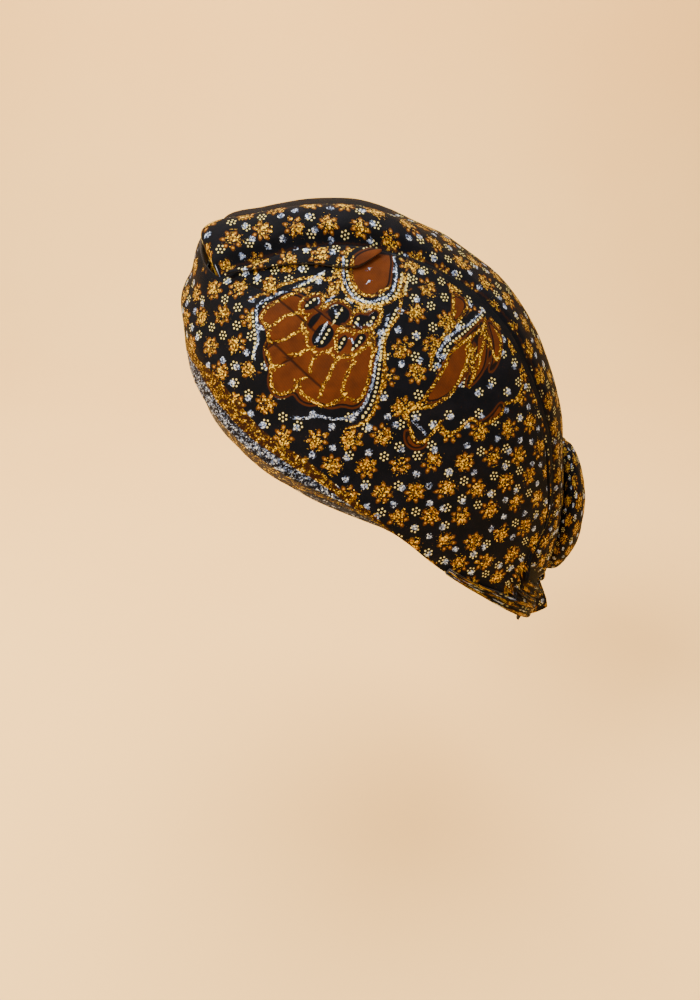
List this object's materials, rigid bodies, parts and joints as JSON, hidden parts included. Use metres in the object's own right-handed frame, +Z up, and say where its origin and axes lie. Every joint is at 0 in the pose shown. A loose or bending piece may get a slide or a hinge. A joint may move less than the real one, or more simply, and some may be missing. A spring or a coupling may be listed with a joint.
{
  "type": "batik cap",
  "caption": "Soft batik head wrap in the form that it takes on a head, with side panels, a ridged crown strip, stacked borders, a back pouch, a gathered nape hem, a knot and a short tail.",
  "frame": {"origin": "the middle of the head opening, midway between the forehead and the nape, where the cap sits on a head", "axes": "+X to the wearer's left, -Y to the front, +Z up as the cap is worn. The head opening faces down and back, tilted by 42.8 degrees from level"},
  "size_m": [0.1612, 0.195, 0.2116],
  "materials": {
    "batik": "black printed cotton with brown and gold flowers and cream dots, touched with glitter",
    "gold_border": "cotton printed with gold glitter",
    "silver_border": "cotton printed with silver glitter"
  },
  "bodies": {
    "root": {"side_panel_left": "batik", "side_panel_right": "batik", "crown_half_left": "batik", "crown_half_right": "batik", "side_pleat_left": "batik", "side_pleat_right": "batik", "gold_border_left": "gold_border", "gold_border_right": "gold_border", "silver_border_left": "silver_border", "silver_border_right": "silver_border", "back_pouch": "batik", "nape_hem": "batik", "nape_knot": "batik", "nape_tail": "batik"}
  },
  "joints": []
}
